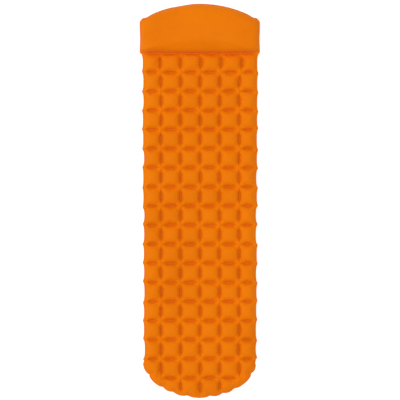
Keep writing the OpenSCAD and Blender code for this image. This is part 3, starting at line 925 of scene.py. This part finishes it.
@dataclass
class Pillow:
    """The pillow chamber, a smooth pouch over the mattress's head rim. Sizes in mm."""

    seam_y: float = 712.0
    head_y: float = 949.0
    head_r: float = 555.0
    half_w: float = 289.5
    seam_half_w: float = 285.0
    rim_w: float = 5.0
    rim_z: float = 47.0
    seam_z: float = 31.2
    start_z: float = 88.0
    top_z: float = 99.0
    skin: float = 0.6
    top_shoulders: tuple[float, float, float] = (72.0, 72.0, 34.0)
    under_shoulders: tuple[float, float, float] = (32.0, 38.0, 42.0)
    top_corner: float = 5.0
    under_corner: float = 2.5
    fullness: float = 2.4
    step: float = 5.0
    waist: float = 2.0
    seam_hem: float = 8.0
    seam_step: float = 4.0
    rim_climb: float = 60.0
    # Depth, place and width of the outline's dips and of its rounded corners.
    corner_dip: tuple[float, float, float] = (3.0, 252.0, 14.0)
    corner_ear: tuple[float, float, float] = (4.0, 262.0, 12.0)
    crown_dip: tuple[float, float, float] = (3.0, -95.0, 45.0)
    corner_round: tuple[float, float, float] = (9.0, 272.0, 16.0)
    air: AirPressure = AirPressure(pressure=2.0, growth=0.0, tension=80.0, bending=1.0)

    def arc(self, x: Array) -> Array:
        """The head's outline, an arc with a soft dip before each corner.

        Args:
            x: place across, in mm.

        Returns:
            The y of the outline, in mm.
        """
        out = np.abs(x)
        deep, at, wide = self.corner_dip
        dip = deep * np.exp(-(((out - at) / wide) ** 2))
        deep, at, wide = self.corner_ear
        dip = dip - deep * smooth((out - at) / wide)
        deep, at, wide = self.crown_dip
        dip = dip + deep * np.exp(-(((x - at) / wide) ** 2))
        deep, at, wide = self.corner_round
        round_off = deep * np.clip((out - at) / wide, 0, 1.1) ** 2
        return self.head_y - self.head_r + np.sqrt(self.head_r**2 - x * x) - dip - round_off

    def sheet(self, facing: Side) -> Sheet:
        """Lay out one sheet.

        Args:
            facing: which of the two.

        Returns:
            The sheet, in its full form.
        """
        nx = int(2 * (self.half_w - self.rim_w) / self.step)
        ny = int((self.head_y - self.seam_y) / self.step)
        p = np.concatenate([[-1, -1], np.linspace(-1, 1, nx), [1, 1]])
        q = np.concatenate([[0, 0], np.linspace(0, 1, ny) ** 1.15, [1, 1]])
        px, qy = np.meshgrid(p, q)
        col, row = np.arange(len(p))[None, :], np.arange(len(q))[:, None]
        beyond_x = np.maximum(2 - col, 0) / 2 + np.maximum(col - (len(p) - 3), 0) / 2
        beyond_head = np.maximum(row - (len(q) - 3), 0) / 2
        before_seam = np.maximum(2 - row, 0) / 2
        side = np.sign(px)
        inner = self.half_w - self.rim_w
        draw = self.waist * np.sin(np.pi * np.clip(qy * 1.1, 0, 1)) ** 2
        x = px * (inner - draw) + side * beyond_x * self.rim_w
        x = x * (1 - before_seam * (self.half_w - self.seam_half_w) / self.half_w)
        front = self.seam_y + self.seam_step
        edge = self.arc(x) - self.rim_w
        y = front + qy * (edge - front) + beyond_head * self.rim_w - before_seam * self.seam_hem
        from_front = np.maximum(y - front, 0)
        rim = self.seam_z + (self.rim_z - self.seam_z) * np.clip(from_front / self.rim_climb, 0, 1)
        gaps = np.stack([np.maximum(inner - np.abs(x), 0), np.maximum(edge - y, 0), from_front])
        held = (col <= 2) | (col >= len(p) - 3) | (row <= 2) | (row >= len(q) - 3)
        held = np.broadcast_to(held, px.shape)
        skin = self.skin * ~outer_ring(px.shape)
        if facing is Side.UPPER:
            full = np.sqrt(1 - self.shoulder(gaps, self.top_shoulders, self.top_corner) ** self.fullness)
            z = rim + skin + np.where(held, 0, full) * (self.start_z - rim)
        else:
            full = 1 - self.shoulder(gaps, self.under_shoulders, self.under_corner)
            z = on_ground((rim - skin) * (1 - np.where(held, 0, full)))
        nearest = np.argmin(gaps, 0)
        foot = np.stack([np.where(nearest == 0, side * inner, x), np.choose(nearest, [y, edge, front])], -1)
        # The rim takes a small share of the darker weld colour, partly its pressed tone and partly painted
        # shade.
        return Sheet(np.stack([x, y, z], -1) * MM, held, held * 0.15, foot * MM, gaps.min(0))

    def shoulder(self, gaps: Array, widths: tuple[float, float, float], corner: float) -> Array:
        """How far a point still is from the flat, with flat ears where two shoulders meet.

        Args:
            gaps: distances from the sides, the head and the front, in mm.
            widths: how wide the shoulder is at each.
            corner: how square the corners are; at 2 they are quarter circles.

        Returns:
            1 on the rim, falling to 0 past the shoulders.
        """
        short = np.maximum(1 - gaps / np.array(widths)[:, None, None], 0)
        return np.minimum((short**corner).sum(0) ** (1 / corner), 1)

    def build(self, fabric: bpy.types.Material) -> list[bpy.types.Object]:
        """Make and dress both sheets, of which the upper one is blown up.

        Args:
            fabric: the material of the sheets.

        Returns:
            The upper and the lower sheet.
        """
        laid = self.sheet(Side.UPPER)
        top = laid.piece("pillow_top_fabric", Side.UPPER)
        self.air.inflate(top, laid.held.ravel())
        blown = points_of(top.data)
        rise = blown[:, 2] / MM - self.rim_z
        log.info("pillow top rises %.1f mm over its rim", rise.max())
        stretched = self.rim_z + rise * (self.top_z - self.rim_z) / rise.max()
        blown[:, 2] = np.where(rise > 0, stretched, blown[:, 2] / MM) * MM
        set_points(top.data, blown)
        bottom = self.sheet(Side.LOWER).piece("pillow_bottom_fabric", Side.LOWER)
        for piece in (top, bottom):
            subdivide(piece)
            piece.data.materials.append(fabric)
        Seat.of("pillow", self.rim_z).cut(bottom)
        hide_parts("pillow_top_sheet")
        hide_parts("pillow_bottom_sheet")
        return [top, bottom]


# ------------------------------------------------------------------ the valves


@dataclass(frozen=True)
class LidHinge:
    """The thin film that a lid's strap bends in. Sizes in mm, the turn in degrees."""

    name: str
    parent: str
    child: str
    radius: float
    turn: float
    z: float
    width: float
    steps: int = 8
    thick: float = 0.3
    swell: float = 0.12
    inset: float = 0.02
    reach: float = 1.25
    gap: float = 0.7

    def build(self, seat: Seat, material: bpy.types.Material) -> bpy.types.Object:
        """Make the film at the hinge between the two bodies.

        Args:
            seat: the valve's seat.
            material: the moulded finish.

        Returns:
            The film.
        """
        c, s = math.cos(math.radians(self.turn)), math.sin(math.radians(self.turn))
        work = bmesh.new()
        rings = []
        for k in range(self.steps + 1):
            z = self.z + self.reach * (2 * k / self.steps - 1)
            outer = self.thick + self.swell * math.cos(math.pi * (k / self.steps - 0.5))
            ring = []
            for r, w in ((self.inset, -1), (outer, -1), (outer, 1), (self.inset, 1)):
                x, y = self.radius + r, w * self.width / 2
                ring.append(work.verts.new(seat.point(x * c - y * s, x * s + y * c, z)))
            rings.append(ring)
        for low, high in zip(rings, rings[1:]):
            for i in range(4):
                work.faces.new((low[i], low[(i + 1) % 4], high[(i + 1) % 4], high[i]))
        work.faces.new(rings[0][::-1])
        work.faces.new(rings[-1])
        bmesh.ops.recalc_face_normals(work, faces=work.faces)
        mesh = bpy.data.meshes.new(self.name)
        work.to_mesh(mesh)
        work.free()
        mesh.materials.append(material)
        film = bpy.data.objects.new(self.name, mesh)
        bpy.context.scene.collection.objects.link(film)
        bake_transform(film)
        return film


@dataclass
class Valve:
    """One two-lid valve: the frame's own moulded nodes and the films of its two hinges. Sizes in mm."""

    name: str
    stopper_hinge_r: float = 17.3
    stopper_hinge_z: float = 2.65
    cap_hinge_r: float = 14.5
    cap_hinge_z: float = 6.05
    cap_turn: float = 70.0
    stopper_film_w: float = 7.6
    cap_film_w: float = 5.2

    def build(self, finishes: Wardrobe) -> list[bpy.types.Object]:
        """Dress the moulded nodes and add the hinge films.

        Args:
            finishes: the pad's finishes.

        Returns:
            The films.
        """
        for part in ("base", "tether", "stopper", "cap"):
            self.dress(part, finishes.tpu)
        for part in ("seal", "membrane", "pin"):
            self.dress(part, finishes.silicone)
        seat = Seat.of(self.name)
        stopper = f"{self.name}_stopper"
        films = [
            LidHinge(
                f"{self.name}_stopper_hinge_film", "root", stopper,
                self.stopper_hinge_r, 0.0, self.stopper_hinge_z, self.stopper_film_w,
            ),
            LidHinge(
                f"{self.name}_cap_hinge_film", stopper, f"{self.name}_cap",
                self.cap_hinge_r, self.cap_turn, self.cap_hinge_z, self.cap_film_w,
            ),
        ]
        return [film.build(seat, finishes.tpu) for film in films]

    def dress(self, part: str, material: bpy.types.Material) -> None:
        """Give a moulded node its finish.

        Args:
            part: the node's name within the valve.
            material: its finish.
        """
        node = frame["nodes"][f"{self.name}_valve_{part}"]
        node.data.materials.clear()
        node.data.materials.append(material)


# ------------------------------------------------------------------ studio


@dataclass(frozen=True)
class Studio:
    """Plain pale floor, soft light with a faint low lamp at the left, and a camera straight above.

    Sizes are in metres, lamp angles in degrees.
    """

    camera_height: float = 14.0
    view_w: float = 1.932
    centre: tuple[float, float] = (0.001, 0.0043)
    key_strength: float = 1.24
    key_angle: float = 30.0
    side_strength: float = 0.42
    side_angle: float = 40.0
    fill: float = 0.52
    floor_half: float = 9.0
    floor_z: float = -0.0006
    floor_glow: float = 0.62

    def floor(self) -> None:
        """Lay the floor, white to the camera and with the pad's own soft shadow."""
        mesh = bpy.data.meshes.new("studio_floor")
        half, z = self.floor_half, self.floor_z
        corners = [(-half, -half, z), (half, -half, z), (half, half, z), (-half, half, z)]
        mesh.from_pydata(corners, [], [(0, 1, 2, 3)])
        plane = bpy.data.objects.new("studio_floor", mesh)
        bpy.context.scene.collection.objects.link(plane)
        paint = bpy.data.materials.new("matt_white_backdrop_paint")
        bench = NodeBench.of(paint)
        rays = bench.add("LightPath").outputs
        looks = (rays["Is Camera Ray"], rays["Is Glossy Ray"])
        seen = bench.add("Math", *looks, settings={"operation": "MAXIMUM"}).outputs[0]
        matt = bench.add("BsdfDiffuse", Color=linear("#FAFAFA"))
        bright = bench.add("BsdfDiffuse", Color=linear("#D8D8D8"))
        glow = bench.add("Emission", Color=(1.0, 1.0, 1.0, 1.0), Strength=self.floor_glow)
        shown = bench.add("AddShader", bright.outputs[0], glow.outputs[0])
        shader = bench.add("MixShader", seen, matt.outputs[0], shown.outputs[0])
        bench.add("OutputMaterial", Surface=shader.outputs[0])
        mesh.materials.append(paint)

    def world(self) -> None:
        """Set the even surround, white where the camera sees past the floor."""
        world = bpy.data.worlds.new("white_surround")
        bpy.context.scene.world = world
        bench = NodeBench.of(world)
        seen = bench.add("LightPath").outputs["Is Camera Ray"]
        soft = bench.add("Background", Color=(1, 1, 1, 1), Strength=self.fill)
        white = bench.add("Background", Color=(1, 1, 1, 1), Strength=1.0)
        shown = bench.add("MixShader", seen, soft.outputs[0], white.outputs[0])
        bench.add("OutputWorld", Surface=shown.outputs[0])

    def lamps(self) -> None:
        """Hang the soft key light over the pad and a faint low one at its left."""
        for name, strength, angle, direction in (
            ("key", self.key_strength, self.key_angle, (0.12, -0.05, -1.0)),
            ("side", self.side_strength, self.side_angle, (1.0, -0.15, -0.36)),
        ):
            lamp = bpy.data.lights.new(name, "SUN")
            lamp.energy = strength
            lamp.angle = math.radians(angle)
            sun = bpy.data.objects.new(name, lamp)
            sun.rotation_mode = "QUATERNION"
            sun.rotation_quaternion = Vector(direction).to_track_quat("-Z", "Y")
            bpy.context.scene.collection.objects.link(sun)

    def camera(self) -> None:
        """Set the camera straight above, the pad's head up."""
        lens = bpy.data.cameras.new("above")
        lens.sensor_width = 36.0
        lens.lens = 36.0 * self.camera_height / self.view_w
        lens.clip_end = 100.0
        camera = bpy.data.objects.new("above", lens)
        camera.location = (*self.centre, self.camera_height)
        bpy.context.scene.collection.objects.link(camera)
        bpy.context.scene.camera = camera

    def build(self) -> None:
        """Set up the whole studio."""
        bpy.context.scene.view_settings.view_transform = "Standard"
        self.camera()
        self.floor()
        self.world()
        self.lamps()


# ------------------------------------------------------------------ all of it


def main() -> None:
    """Build the pad and the studio."""
    logging.basicConfig(level=logging.INFO, format="%(name)s: %(message)s")
    Studio().build()
    finishes = Wardrobe()
    sheets = Mattress().build(finishes.fabric) + Pillow().build(finishes.fabric)
    for sheet in sheets:
        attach(sheet, "root")
        log.info("%s: %d faces", sheet.name, len(sheet.data.polygons))
    for name in ("mattress", "pillow"):
        for film in Valve(name).build(finishes):
            log.info("%s", film.name)
    bpy.context.view_layer.update()


if __name__ == "__main__":
    main()
